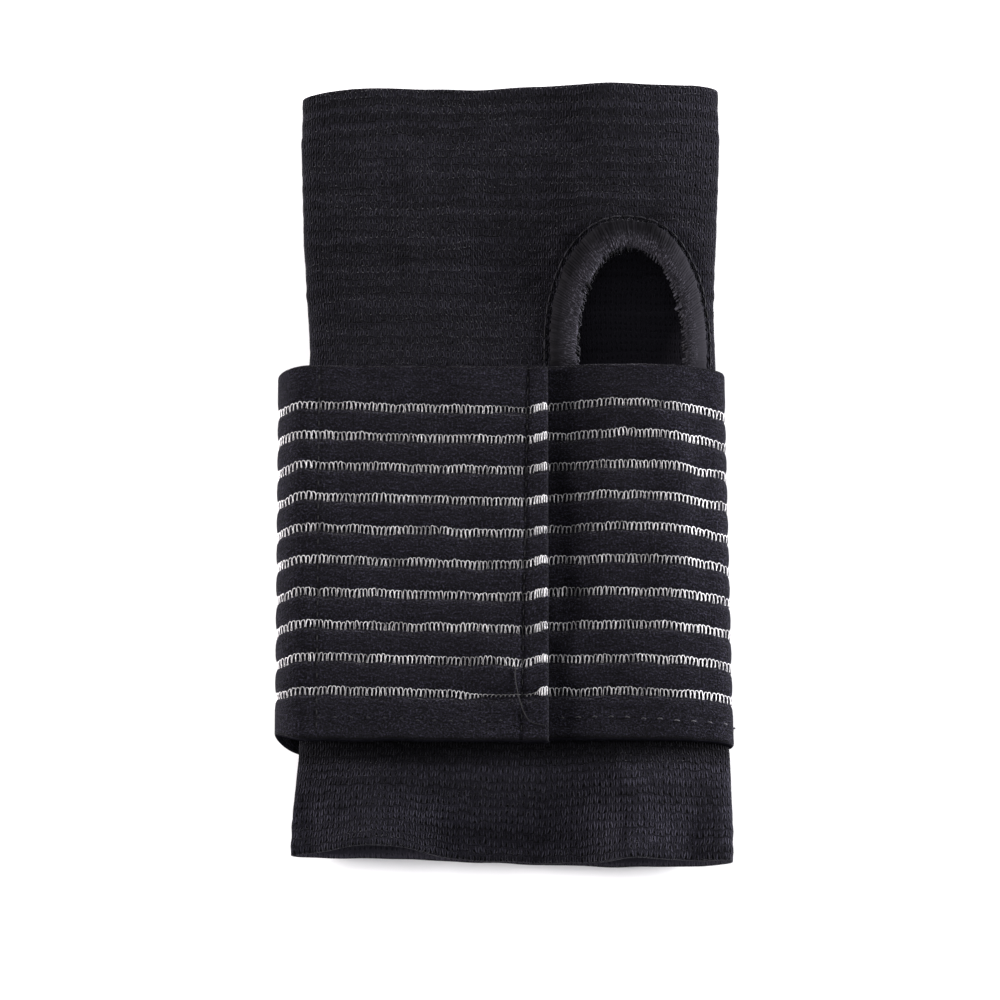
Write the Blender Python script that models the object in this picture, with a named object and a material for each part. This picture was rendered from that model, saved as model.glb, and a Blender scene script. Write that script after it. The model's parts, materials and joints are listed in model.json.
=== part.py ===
"""Wrist support brace lying flat on a table, as a Blender model in metres with +Z up.

A knitted tube takes the hand (palm end at +Y) and the forearm (-Y). A thumb hole with a stitched
binding opens its front face. A 75 mm elastic strap is sewn to the front face, goes round the right
edge, under the back and round the left edge, and its free end lies on the front, held by a hook
tape. The free end opens on two hinge lines at the left edge, and its folded lip lifts on a third.
"""

import math

import bmesh
import bpy
from mathutils import Vector

MM = 0.001

# Driving dimensions of the knitted sleeve
SLEEVE_LENGTH = 153.2 * MM
KNIT = 1.1 * MM  # thickness of one knitted layer
GAP = 0.3 * MM  # clearance between pieces that touch on the real brace
SECTION_POWER = 3.0  # roundness of the flattened tube, where 2 is an ellipse
# (y, centre x, half width) of the flattened tube from the forearm end to the palm end
SLEEVE_WIDTHS = (
    (-76.6 * MM, 1.5 * MM, 41.8 * MM),
    (-66.0 * MM, 1.6 * MM, 41.5 * MM),
    (-56.0 * MM, 1.8 * MM, 40.3 * MM),
    (-38.0 * MM, 1.6 * MM, 39.6 * MM),
    (0.0 * MM, 1.6 * MM, 39.3 * MM),
    (24.0 * MM, 1.7 * MM, 39.0 * MM),
    (50.0 * MM, 1.4 * MM, 39.8 * MM),
    (76.6 * MM, 1.35 * MM, 40.5 * MM),
)

# Driving dimensions of the strap
STRAP = 1.3 * MM  # thickness of the elastic
STRAP_WIDTH = 75.0 * MM
STRAP_Y_LOW = -55.0 * MM
STRAP_Y_HIGH = STRAP_Y_LOW + STRAP_WIDTH
STRAP_HALF_SPAN = 43.6 * MM  # outside of the turn at each side
HOOK_TAPE = 0.7 * MM
HOOK_TAPE_X = (-36.2 * MM, 2.8 * MM)
HOOK_TAPE_INSET = 1.0 * MM
SEWN_END_X = -33.5 * MM
RIGHT_TURN_X = 30.0 * MM  # where the strap starts to curve down at the right
HINGE_SPACE = 0.8 * MM  # from a hinge line to the solid on each side of it
LIP_X = (4.9 * MM, 8.6 * MM)
LIP_HINGE_X = 4.1 * MM
LIP = 2.2 * MM  # the strap's end is folded under, so it is two layers

# Levels of the stack in the strap's area, from the table up
SLEEVE_LOW = STRAP + GAP
SLEEVE_HIGH = SLEEVE_LOW + 7.4 * MM
FRONT_MID = SLEEVE_HIGH + GAP + STRAP / 2
HOOK_LOW = FRONT_MID + STRAP / 2 + GAP
FLAP_LOW = HOOK_LOW + HOOK_TAPE + GAP
FLAP_MID = FLAP_LOW + STRAP / 2
FLAP_TOP = FLAP_LOW + STRAP
SLEEVE_END_HIGH = 8.7 * MM
DROP = 14.0 * MM  # length over which the sleeve comes down to the table beyond the strap
DROP_MARGIN = 2.0 * MM

# The left turn is half a circle from the back length up to the flap
LEFT_RADIUS = FLAP_TOP / 2 - STRAP / 2
LEFT_CENTRE = Vector((-STRAP_HALF_SPAN + FLAP_TOP / 2, 0, FLAP_TOP / 2))
LOWER_HINGE_ANGLE = math.radians(225)
UPPER_HINGE_ANGLE = math.radians(135)

# Thumb hole, as ellipses seen from above: (centre x, centre y, half width, half height)
THUMB_OPENING = (24.3 * MM, 23.0 * MM, 10.5 * MM, 19.6 * MM)
BINDING_OUTLINE = (24.3 * MM, 23.0 * MM, 15.0 * MM, 25.4 * MM)
SEAM_GAP = 0.2 * MM
SEAM_THREAD = 0.5 * MM
BINDING_EXTRA = 0.2 * MM  # the binding is thicker than the knit, on the inside

# Rows of stitching lie in shallow grooves
THREAD_WIDTH = 0.5 * MM
THREAD_HEIGHT = 0.3 * MM
GROOVE_SIDE = 0.2 * MM
ROW_INSET = 2.0 * MM
SEWN_ROWS_X = (-32.2 * MM, -28.6 * MM)
TAPE_ROWS_X = (-35.1 * MM, 1.8 * MM)
EDGE_ROW_Y = STRAP_Y_LOW + 3.8 * MM
EDGE_ROW_FRONT_X = (10.5 * MM, 29.0 * MM)
EDGE_ROW_FLAP_X = (-31.0 * MM, -2.0 * MM)

# (colour, roughness) of each material
KNIT_LOOK = ((0.017, 0.0165, 0.020), 0.92)
BINDING_LOOK = ((0.022, 0.0215, 0.026), 0.85)
STRAP_LOOK = ((0.016, 0.0155, 0.019), 0.88)
TAPE_LOOK = ((0.012, 0.012, 0.014), 0.6)
THREAD_LOOK = ((0.035, 0.034, 0.04), 0.7)

AROUND = 56  # points round the sleeve's section


def material(name, look):
    colour, roughness = look
    made = bpy.data.materials.get(name) or bpy.data.materials.new(name)
    made.use_nodes = True
    shader = made.node_tree.nodes["Principled BSDF"]
    shader.inputs["Base Color"].default_value = (*colour, 1)
    shader.inputs["Roughness"].default_value = roughness
    shader.inputs["Metallic"].default_value = 0.0
    return made


def object_from(name, mesh_builder, surface, parent=None):
    """Links a new object whose mesh is made by bmesh, with every face turned outwards."""
    bmesh.ops.recalc_face_normals(mesh_builder, faces=mesh_builder.faces)
    mesh = bpy.data.meshes.new(name)
    mesh_builder.to_mesh(mesh)
    mesh_builder.free()
    mesh.materials.append(surface)
    mesh.shade_smooth()
    mesh.set_sharp_from_angle(angle=math.radians(40))
    made = bpy.data.objects.new(name, mesh)
    bpy.context.scene.collection.objects.link(made)
    made.parent = parent
    if parent is not None:
        mesh.transform(parent.matrix_basis.inverted())
    return made


def hinge_empty(name, x, z):
    """An empty on a hinge line that runs along Y through (x, z). Moving pieces are its children."""
    made = bpy.data.objects.new(name, None)
    made.location = (x, 0, z)
    bpy.context.scene.collection.objects.link(made)
    return made


def between(value, table, column):
    """The table's column at this value of its first column, eased between the rows."""
    rows = list(zip(table, table[1:]))
    for low, high in rows:
        if value <= high[0] or high is rows[-1][1]:
            share = min(1.0, max(0.0, (value - low[0]) / (high[0] - low[0])))
            eased = share * share * (3 - 2 * share)
            return low[column] + (high[column] - low[column]) * eased
    return table[-1][column]


def share_outside_strap(y):
    """0 under the strap, rising to 1 where the sleeve has come down to the table."""
    beyond = max(y - STRAP_Y_HIGH, STRAP_Y_LOW - y) - DROP_MARGIN
    share = min(1.0, max(0.0, beyond / DROP))
    return share * share * (3 - 2 * share)


def sleeve_section(y, inset):
    """Points round the flattened tube at y, this far inside its outer surface."""
    down = share_outside_strap(y)
    low = SLEEVE_LOW * (1 - down) + inset
    high = SLEEVE_HIGH + (SLEEVE_END_HIGH - SLEEVE_HIGH) * down - inset
    centre, half = between(y, SLEEVE_WIDTHS, 1), between(y, SLEEVE_WIDTHS, 2) - inset
    points = []
    for step in range(AROUND):
        turn = 2 * math.pi * step / AROUND
        across, up = math.cos(turn), math.sin(turn)
        x = centre + half * math.copysign(abs(across) ** (2 / SECTION_POWER), across)
        rise = math.copysign(abs(up) ** (2 / SECTION_POWER), up)
        points.append(Vector((x, y, (low + high) / 2 + (high - low) / 2 * rise)))
    return points


def skin(mesh_builder, rings):
    """Faces between each ring of points and the next. Returns the rings' vertices."""
    made = [[mesh_builder.verts.new(p) for p in ring] for ring in rings]
    for low, high in zip(made, made[1:]):
        for i, corner in enumerate(low):
            j = (i + 1) % len(low)
            mesh_builder.faces.new((corner, low[j], high[j], high[i]))
    return made


def tube_of_knit(name, surface, outer_inset, inner_inset, stations):
    """The sleeve's wall between two insets, open at both ends."""
    builder = bmesh.new()
    outer = skin(builder, [sleeve_section(y, outer_inset) for y in stations])
    inner = skin(builder, [sleeve_section(y, inner_inset) for y in stations])
    for end in (0, -1):
        for i in range(AROUND):
            j = (i + 1) % AROUND
            builder.faces.new((outer[end][i], outer[end][j], inner[end][j], inner[end][i]))
    return object_from(name, builder, surface)


def ellipse_points(outline, grow=0.0, count=64):
    centre_x, centre_y, half_width, half_height = outline
    return [
        (
            centre_x + (half_width + grow) * math.cos(2 * math.pi * i / count),
            centre_y + (half_height + grow) * math.sin(2 * math.pi * i / count),
        )
        for i in range(count)
    ]


def prism(name, outline, low, high):
    """A cutter: a closed outline in plan, standing from low to high."""
    builder = bmesh.new()
    base = builder.faces.new([builder.verts.new((x, y, low)) for x, y in outline])
    grown = bmesh.ops.extrude_face_region(builder, geom=[base])["geom"]
    top = [v for v in grown if isinstance(v, bmesh.types.BMVert)]
    bmesh.ops.translate(builder, verts=top, vec=(0, 0, high - low))
    made = object_from(name, builder, material("cutter", KNIT_LOOK))
    made.hide_render = True
    made.display_type = "WIRE"
    return made


def boolean(target, cutter, operation):
    modifier = target.modifiers.new(f"{operation.lower()}_{cutter.name}", "BOOLEAN")
    modifier.operation = operation
    modifier.solver = "EXACT"
    modifier.object = cutter


def ribbon(name, path, thickness, surface, y_span=(STRAP_Y_LOW, STRAP_Y_HIGH), parent=None):
    """A strip of cloth: a centre line in the XZ plane, thickened and run along Y."""
    builder = bmesh.new()
    rings = []
    for i, point in enumerate(path):
        along = path[min(i + 1, len(path) - 1)] - path[max(i - 1, 0)]
        side = Vector((-along.z, 0, along.x)).normalized() * thickness / 2
        rings.append(
            [
                builder.verts.new((edge.x, y, edge.z))
                for edge, y in (
                    (point - side, y_span[0]),
                    (point + side, y_span[0]),
                    (point + side, y_span[1]),
                    (point - side, y_span[1]),
                )
            ]
        )
    for low, high in zip(rings, rings[1:]):
        for i in range(4):
            j = (i + 1) % 4
            builder.faces.new((low[i], low[j], high[j], high[i]))
    builder.faces.new(rings[0])
    builder.faces.new(rings[-1])
    return object_from(name, builder, surface, parent)


def box(name, x_span, y_span, z_span, surface, parent=None):
    builder = bmesh.new()
    bmesh.ops.create_cube(builder, size=1.0)
    spans = (x_span, y_span, z_span)
    for vertex in builder.verts:
        vertex.co = Vector([s[0] if c < 0 else s[1] for s, c in zip(spans, vertex.co)])
    return object_from(name, builder, surface, parent)


def arc(centre, radius_x, radius_z, start, stop, steps):
    """Points on an ellipse in the XZ plane, with its angles in radians."""
    angles = [start + (stop - start) * i / steps for i in range(steps + 1)]
    return [
        Vector((centre.x + radius_x * math.cos(a), 0, centre.z + radius_z * math.sin(a)))
        for a in angles
    ]


def hinge_point(angle):
    return arc(LEFT_CENTRE, LEFT_RADIUS, LEFT_RADIUS, angle, angle, 1)[0]


def thread_row(name, x_span, y_span, top, cloth, surface, parent=None):
    """A row of stitching, sunk in a groove of the cloth that ends level with its top."""
    side = GROOVE_SIDE
    groove = box(
        f"{name}_groove",
        (x_span[0] - side, x_span[1] + side),
        (y_span[0] - side, y_span[1] + side),
        (top - THREAD_HEIGHT - side, top + side),
        surface,
        parent,
    )
    groove.hide_render = True
    groove.display_type = "WIRE"
    boolean(cloth, groove, "DIFFERENCE")
    return box(name, x_span, y_span, (top - THREAD_HEIGHT, top), surface, parent)


def row_along_y(name, x, top, cloth, surface, parent=None):
    spans = (x - THREAD_WIDTH / 2, x + THREAD_WIDTH / 2)
    ends = (STRAP_Y_LOW + ROW_INSET, STRAP_Y_HIGH - ROW_INSET)
    return thread_row(name, spans, ends, top, cloth, surface, parent)


def row_along_x(name, x_span, top, cloth, surface, parent=None):
    ends = (EDGE_ROW_Y - THREAD_WIDTH / 2, EDGE_ROW_Y + THREAD_WIDTH / 2)
    return thread_row(name, x_span, ends, top, cloth, surface, parent)


def make_sleeve(knit, bound, thread):
    """The knitted tube, with its thumb hole, the stitched binding and the seam between them."""
    half = SLEEVE_LENGTH / 2
    beyond = [STRAP_Y_HIGH + DROP_MARGIN + DROP * share for share in (0, 0.25, 0.5, 0.75, 1)]
    below = [STRAP_Y_LOW - DROP_MARGIN - DROP * share for share in (0, 0.25, 0.5, 0.75, 1)]
    between_ends = [-30 * MM, -8 * MM, 10 * MM, 46 * MM, 58 * MM]
    stations = sorted([-half, half, *beyond, *below, *between_ends])
    middle = (SLEEVE_LOW + SLEEVE_HIGH) / 2 + GAP
    above = SLEEVE_HIGH + STRAP

    sleeve = tube_of_knit("knit_sleeve", knit, 0, KNIT, stations)
    cut = ellipse_points(BINDING_OUTLINE, 2 * SEAM_GAP + SEAM_THREAD)
    boolean(sleeve, prism("sleeve_cut", cut, middle, above), "DIFFERENCE")

    binding = tube_of_knit("thumb_hole_binding", bound, 0, KNIT + BINDING_EXTRA, stations)
    boolean(binding, prism("binding_outer", ellipse_points(BINDING_OUTLINE), middle, above), "INTERSECT")
    boolean(binding, prism("binding_inner", ellipse_points(THUMB_OPENING), middle, above), "DIFFERENCE")

    seam = tube_of_knit("thumb_hole_seam", thread, 0, KNIT, stations)
    outside = ellipse_points(BINDING_OUTLINE, SEAM_GAP + SEAM_THREAD)
    boolean(seam, prism("seam_outer", outside, middle, above), "INTERSECT")
    boolean(seam, prism("seam_inner", ellipse_points(BINDING_OUTLINE, SEAM_GAP), middle, above), "DIFFERENCE")


def make_fixed_strap(elastic, thread):
    """The strap from its sewn end on the front, round the right edge and under the back."""
    turn_height = (FRONT_MID - STRAP / 2) / 2
    turn_centre = Vector((RIGHT_TURN_X, 0, turn_height + STRAP / 2))
    turn_width = STRAP_HALF_SPAN - STRAP / 2 - RIGHT_TURN_X
    quarter = math.pi / 2

    front_path = [Vector((x, 0, FRONT_MID)) for x in (SEWN_END_X, RIGHT_TURN_X - GAP)]
    front = ribbon("strap_front_length", front_path, STRAP, elastic)
    turn_path = arc(turn_centre, turn_width, turn_height, quarter, -quarter, 20)
    ribbon("strap_right_turn", turn_path, STRAP, elastic)

    space = HINGE_SPACE / LEFT_RADIUS
    rise = arc(LEFT_CENTRE, LEFT_RADIUS, LEFT_RADIUS, 3 * quarter, LOWER_HINGE_ANGLE + space, 5)
    back_path = [Vector((RIGHT_TURN_X - GAP, 0, STRAP / 2)), *rise]
    ribbon("strap_back_length", back_path, STRAP, elastic)

    top = FRONT_MID + STRAP / 2
    for number, x in enumerate(SEWN_ROWS_X, 1):
        row_along_y(f"sewn_end_stitch_row_{number}", x, top, front, thread)
    row_along_x("edge_stitch_row_front", EDGE_ROW_FRONT_X, top, front, thread)


def make_left_turn(elastic):
    """The stretch between the two hinge lines at the left edge."""
    pivot = hinge_point(LOWER_HINGE_ANGLE)
    lower_hinge = hinge_empty("left_turn_hinge", pivot.x, pivot.z)
    space = HINGE_SPACE / LEFT_RADIUS
    ends = (LOWER_HINGE_ANGLE - space, UPPER_HINGE_ANGLE + space)
    path = arc(LEFT_CENTRE, LEFT_RADIUS, LEFT_RADIUS, *ends, 10)
    ribbon("strap_left_turn", path, STRAP, elastic, parent=lower_hinge)


def make_flap(elastic, tape, thread):
    """The free end of the strap, with the hook tape sewn under it."""
    pivot = hinge_point(UPPER_HINGE_ANGLE)
    hinge = hinge_empty("flap_hinge", pivot.x, pivot.z)
    space = HINGE_SPACE / LEFT_RADIUS
    curve = arc(LEFT_CENTRE, LEFT_RADIUS, LEFT_RADIUS, UPPER_HINGE_ANGLE - space, math.pi / 2, 5)
    path = [*curve, Vector((LIP_HINGE_X - HINGE_SPACE, 0, FLAP_MID))]
    flap = ribbon("strap_flap", path, STRAP, elastic, parent=hinge)
    inset_y = (STRAP_Y_LOW + HOOK_TAPE_INSET, STRAP_Y_HIGH - HOOK_TAPE_INSET)
    box("hook_tape", HOOK_TAPE_X, inset_y, (HOOK_LOW, HOOK_LOW + HOOK_TAPE), tape, hinge)
    for place, x in zip(("inner", "outer"), TAPE_ROWS_X):
        row_along_y(f"hook_tape_stitch_row_{place}", x, FLAP_TOP, flap, thread, hinge)
    row_along_x("edge_stitch_row_flap", EDGE_ROW_FLAP_X, FLAP_TOP, flap, thread, hinge)


def make_lip(elastic):
    """The folded end of the strap beyond the hook tape, which a finger lifts first."""
    hinge = hinge_empty("lip_hinge", LIP_HINGE_X, FLAP_MID)
    radius = LIP / 2
    middle = FLAP_TOP - radius
    round_end = arc(Vector((LIP_X[1] - radius, 0, middle)), radius, radius, -math.pi / 2, math.pi / 2, 8)
    outline = [Vector((LIP_X[0], 0, middle - radius)), *round_end, Vector((LIP_X[0], 0, FLAP_TOP))]
    builder = bmesh.new()
    low = [builder.verts.new((p.x, STRAP_Y_LOW, p.z)) for p in outline]
    face = builder.faces.new(low)
    grown = bmesh.ops.extrude_face_region(builder, geom=[face])["geom"]
    far = [v for v in grown if isinstance(v, bmesh.types.BMVert)]
    bmesh.ops.translate(builder, verts=far, vec=(0, STRAP_WIDTH, 0))
    object_from("strap_end_lip", builder, elastic, hinge)


def main():
    for old in list(bpy.data.objects):
        bpy.data.objects.remove(old)
    knit = material("knit", KNIT_LOOK)
    bound = material("binding", BINDING_LOOK)
    elastic = material("strap_elastic", STRAP_LOOK)
    tape = material("hook_tape", TAPE_LOOK)
    thread = material("thread", THREAD_LOOK)
    make_sleeve(knit, bound, thread)
    make_fixed_strap(elastic, thread)
    make_left_turn(elastic)
    make_flap(elastic, tape, thread)
    make_lip(elastic)


main()
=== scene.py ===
"""The looks of a knitted wrist brace with a wrap strap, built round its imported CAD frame.

Everything is in metres in the CAD's frame: +Y towards the palm end, +Z up, the front face up. The
elastic strap is one long surface: strap_point(s, v, lift) gives any point of it from the length s
along it, the distance v from its lower edge and the height above its middle. Its cloth, its woven
light threads and its stitching are all laid on that surface.
"""

import json
import math

import bpy
import numpy as np
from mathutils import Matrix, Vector


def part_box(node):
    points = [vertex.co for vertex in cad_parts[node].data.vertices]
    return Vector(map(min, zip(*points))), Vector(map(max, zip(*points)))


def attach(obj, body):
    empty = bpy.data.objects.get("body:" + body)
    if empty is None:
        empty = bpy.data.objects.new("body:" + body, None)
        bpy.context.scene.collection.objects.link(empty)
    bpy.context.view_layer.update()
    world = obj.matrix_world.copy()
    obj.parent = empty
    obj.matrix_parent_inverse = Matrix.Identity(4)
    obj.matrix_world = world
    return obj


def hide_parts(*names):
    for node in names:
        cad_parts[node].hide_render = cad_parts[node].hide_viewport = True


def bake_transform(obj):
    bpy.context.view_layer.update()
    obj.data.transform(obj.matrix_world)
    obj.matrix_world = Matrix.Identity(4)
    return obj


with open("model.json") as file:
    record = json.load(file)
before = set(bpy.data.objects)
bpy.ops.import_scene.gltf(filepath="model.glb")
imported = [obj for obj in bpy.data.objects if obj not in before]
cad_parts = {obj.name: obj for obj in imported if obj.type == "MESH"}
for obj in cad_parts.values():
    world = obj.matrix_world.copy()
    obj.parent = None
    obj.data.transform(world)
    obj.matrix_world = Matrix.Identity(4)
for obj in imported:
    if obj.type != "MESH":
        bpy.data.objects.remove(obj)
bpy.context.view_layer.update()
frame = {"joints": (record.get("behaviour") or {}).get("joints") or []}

MM = 0.001
TAU = 2 * math.pi
TINY = 1e-12  # keeps a length of 0 from being divided by


# ---- sizes read from the frame


def node_box(name):
    """The lowest and highest corners of a CAD node."""
    low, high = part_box(name)
    return np.array(low), np.array(high)


def joint_place(name):
    """A point on the joint's axis."""
    joint = next(j for j in frame["joints"] if j["name"] == name)
    return np.array(joint["pos_m"])


SLEEVE_LOW, SLEEVE_HIGH = node_box("knit_sleeve")
FRONT_LOW, FRONT_HIGH = node_box("strap_front_length")
TURN_HIGH = node_box("strap_right_turn")[1]
FLAP_HIGH = node_box("strap_flap")[1]
LIP_HIGH = node_box("strap_end_lip")[1]
TAPE_LOW, TAPE_HIGH = node_box("hook_tape")
BINDING_LOW, BINDING_HIGH = node_box("thumb_hole_binding")
LOWER_HINGE = joint_place("left_turn_unroll")
UPPER_HINGE = joint_place("flap_open")
LIP_HINGE = joint_place("lip_lift")

# The strap
STRAP = FRONT_HIGH[2] - FRONT_LOW[2]  # thickness of the elastic
LOWER_INSET, UPPER_INSET = 0.6 * MM, 0.5 * MM  # from the CAD solid's long edges to the cloth's
STRAP_Y = FRONT_LOW[1] + LOWER_INSET
STRAP_WIDTH = FRONT_HIGH[1] - FRONT_LOW[1] - (LOWER_INSET + UPPER_INSET)
STRAP_END_Y = STRAP_Y + STRAP_WIDTH
FRONT_MID = (FRONT_LOW[2] + FRONT_HIGH[2]) / 2
FLAP_MID = FLAP_HIGH[2] - STRAP / 2
HALF_SPAN = TURN_HIGH[0] - STRAP / 2  # the middle of the elastic at the right edge
LEFT_RADIUS = (FLAP_MID - STRAP / 2) / 2
LEFT_X = LOWER_HINGE[0] + LEFT_RADIUS * math.cos(math.pi / 4) + 0.6 * MM  # centre of the left turn
STRIPES = 10
STRIPE_PITCH = 6.53 * MM
STRIPE_CLOSER = 0.0315 * MM  # the stripes come closer together towards the upper edge
FIRST_STRIPE = 9.22 * MM  # from the strap's lower edge to the lowest stripe
STRIPE_HALF = 0.76 * MM  # half its height
LOOP_PITCH = 0.83 * MM  # from one loop of its thread to the next
THREAD = 0.069 * MM  # radius of the light woven thread

# The sleeve
KNIT = 1.1 * MM  # thickness of one layer
WALES = 168  # columns of stitches round it
COURSE = 1.45 * MM  # height of one row of stitches
PALM_END = 76.1 * MM
FOREARM_END = -75.2 * MM
SECTION_POWER = 3.0  # squareness of the tube's section, where 2 is an ellipse
SLEEVE_UNDER = FRONT_LOW[2] - SLEEVE_HIGH[2]  # gap between the sleeve and the strap
SLEEVE_TOP = SLEEVE_HIGH[2]
AROUND = 236  # the mesh's points round it
ALONG = 196  # and along it
# (y, centre x, half width) down the sleeve
SLEEVE_WIDTHS = np.array(
    [
        (-77.0, 1.6, 41.6), (-66.0, 1.8, 41.4), (-56.0, 2.1, 40.7), (-38.0, 1.7, 39.8),
        (10.0, 1.7, 39.4), (24.0, 1.8, 38.9), (34.0, 1.4, 39.1), (46.0, 1.3, 39.8),
        (62.0, 1.4, 40.4), (77.0, 1.4, 40.4),
    ]
) * MM
# (x, how far the palm end's edge stands out there)
PALM_EDGE = np.array(
    [
        (-39, -0.7), (-35, 0.1), (-26, 0.9), (-16, 0.5), (-8, 0.1), (6, 0.75), (19, 1.3),
        (26, 1.25), (30, 0.8), (36, 1.2), (39, 1.8), (41, 1.2),
    ]
) * MM
# (x, how far the forearm end's edge stands back there, how much further the front layer's does,
# height of the front layer there)
FOREARM_EDGE = np.array(
    [
        (-40, 0.4, 0.0, 5.0), (-35, 0.4, 0.4, 6.4), (-29, 0.5, 1.1, 7.7), (-23, 0.6, 1.35, 7.9),
        (-16, 0.45, 0.9, 5.4), (-11, 0.2, 0.1, 2.9), (-4, -0.2, 0.0, 2.5), (10, -0.6, 0.0, 2.6),
        (16, -0.8, 0.0, 3.4), (20, -0.9, 0.2, 6.0), (23, -0.9, 0.4, 7.7), (29, -0.9, 0.4, 6.9),
        (36, -1.1, 0.3, 6.1), (41, -1.0, 0.1, 5.8),
    ]
) * MM

# The thumb hole and its binding
THUMB_X, THUMB_Y = (BINDING_LOW + BINDING_HIGH)[:2] / 2 - np.array([0.3, 0.0]) * MM
THUMB_OUT = (BINDING_HIGH - BINDING_LOW)[:2] / 2 + np.array([0.2, 0.8]) * MM
THUMB_POWER = 2.25  # squareness of its outline
BAND = 4.9 * MM  # width of the binding
THUMB_MID = THUMB_OUT - BAND / 2
THUMB_IN = THUMB_OUT - BAND

random = np.random.default_rng(11)  # one stream, so the order of the pieces below matters


# ---- smooth numbers


def smooth(t):
    """0 up to 0 and 1 from 1, eased between them."""
    t = np.clip(t, 0.0, 1.0)
    return t * t * (3 - 2 * t)


def rise(value, start, over):
    """0 up to start, easing to 1 over this distance."""
    return smooth((value - start) / over)


def fall(value, stop, over):
    """Easing from 1 to 0 over this distance, 0 from stop on."""
    return smooth((stop - value) / over)


def bump(value, centre, half):
    """1 at the centre, easing to 0 at this distance from it."""
    return smooth(1 - np.abs(value - centre) / half)


def signed_power(value, power):
    """The power of the value's size, keeping its sign."""
    return np.sign(value) * np.abs(value) ** power


def unit(vectors):
    """The vectors, each at length 1."""
    return vectors / (np.linalg.norm(vectors, axis=-1, keepdims=True) + TINY)


def lengths_along(*coordinates):
    """The distance of each point from the first, along the line through them."""
    steps = np.diff(np.stack(coordinates, -1), axis=0)
    return np.append(0, np.cumsum(np.linalg.norm(steps, axis=1)))


def soft_table(value, table, column=1):
    """The table's column at this value of its first column, with the corners eased."""
    total = 0
    for step in (-2.4 * MM, -0.8 * MM, 0.8 * MM, 2.4 * MM):
        total = total + np.interp(value + step, table[:, 0], table[:, column])
    return total / 4


class Ripple:
    """A smooth random function of a few lengths: a sum of waves, about -1 to 1."""

    def __init__(self, seed, sizes, waves=9):
        source = np.random.default_rng(seed)
        self.vectors = source.normal(size=(waves, len(sizes))) * TAU / np.array(sizes, float)
        self.phases = source.uniform(0, TAU, waves)
        self.scale = math.sqrt(2.0 / waves)

    def __call__(self, *lengths):
        total = 0.0
        for vector, phase in zip(self.vectors, self.phases):
            angle = phase
            for part, value in zip(vector, lengths):
                angle = angle + part * value
            total = total + np.sin(angle)
        return total * self.scale


# ---- meshes


def add_object(name, data):
    """A new object, linked to the scene."""
    made = bpy.data.objects.new(name, data)
    bpy.context.scene.collection.objects.link(made)
    return made


def build_mesh(name, points, faces, material, values):
    """A linked mesh object. faces is a list of arrays, one for each number of corners."""
    mesh = bpy.data.meshes.new(name)
    corners = np.concatenate([group.ravel() for group in faces])
    sizes = np.concatenate([np.full(len(group), group.shape[1]) for group in faces])
    starts = np.concatenate([[0], np.cumsum(sizes)[:-1]])
    mesh.vertices.add(len(points))
    mesh.vertices.foreach_set("co", np.asarray(points, np.float32).ravel())
    mesh.loops.add(len(corners))
    mesh.loops.foreach_set("vertex_index", corners.astype(np.int32))
    mesh.polygons.add(len(sizes))
    mesh.polygons.foreach_set("loop_start", starts.astype(np.int32))
    mesh.update(calc_edges=True)
    for attribute, numbers in values.items():
        made = mesh.attributes.new(attribute, "FLOAT", "POINT")
        made.data.foreach_set("value", np.asarray(numbers, np.float32).ravel())
    mesh.shade_smooth()
    mesh.materials.append(material)
    return add_object(name, mesh)


def set_uv(piece, uv):
    """uv is one pair per face corner."""
    layer = piece.data.uv_layers.new(name="cloth")
    layer.data.foreach_set("uv", np.asarray(uv, np.float32).ravel())


def grid_faces(rows, columns, first=0, wrap=False):
    """Quads of a grid of points stored row by row. wrap joins the last column to the first."""
    across = np.arange(columns if wrap else columns - 1)
    r, c = np.meshgrid(np.arange(rows - 1), across, indexing="ij")
    n = (c + 1) % columns
    low, high = r * columns, (r + 1) * columns
    return np.stack([low + c, high + c, high + n, low + n], -1).reshape(-1, 4) + first


def slab(name, outer, inner, coordinates, material):
    """A closed sheet between two grids of points (rows, columns, 3), outer seen from outside."""
    rows, columns = outer.shape[:2]
    count = rows * columns
    top = grid_faces(rows, columns)
    under = grid_faces(rows, columns, count)[:, ::-1]
    index = np.arange(count).reshape(rows, columns)
    border = np.concatenate([index[0, :], index[1:, -1], index[-1, -2::-1], index[-2:0:-1, 0]])
    following = np.roll(border, -1)
    edge = np.stack([border, following, following + count, border + count], -1)
    faces = np.concatenate([top, under, edge])
    points = np.concatenate([outer.reshape(-1, 3), inner.reshape(-1, 3)])
    piece = build_mesh(name, points, [faces], material, {"inside": np.repeat([0.0, 1.0], count)})
    flat = np.concatenate([coordinates.reshape(-1, 2)] * 2)
    set_uv(piece, flat[faces])
    sharpen_ends(piece, rows, columns)
    normals = np.zeros(len(faces) * 3, np.float32)
    piece.data.polygons.foreach_get("normal", normals)
    on_edge = np.abs(normals[1::3]) > 0.5  # the side walls face along Y
    piece.data.materials.append(SELVAGE)
    piece.data.polygons.foreach_set("material_index", on_edge.astype(np.int32))
    return piece


def sharpen_ends(piece, rows, columns):
    """The two ends across a slab shade flat, so that stretches meet without a line."""
    ends = np.zeros(len(piece.data.edges) * 2, np.int32)
    piece.data.edges.foreach_get("vertices", ends)
    row, layer = ends % (rows * columns) // columns, ends // (rows * columns)
    row, layer = row.reshape(-1, 2), layer.reshape(-1, 2)
    sharp = (row[:, 0] == row[:, 1]) & (layer[:, 0] == layer[:, 1])
    sharp &= np.isin(row[:, 0], (0, rows - 1))
    made = piece.data.attributes.new("sharp_edge", "BOOLEAN", "EDGE")
    made.data.foreach_set("value", sharp)


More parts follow.
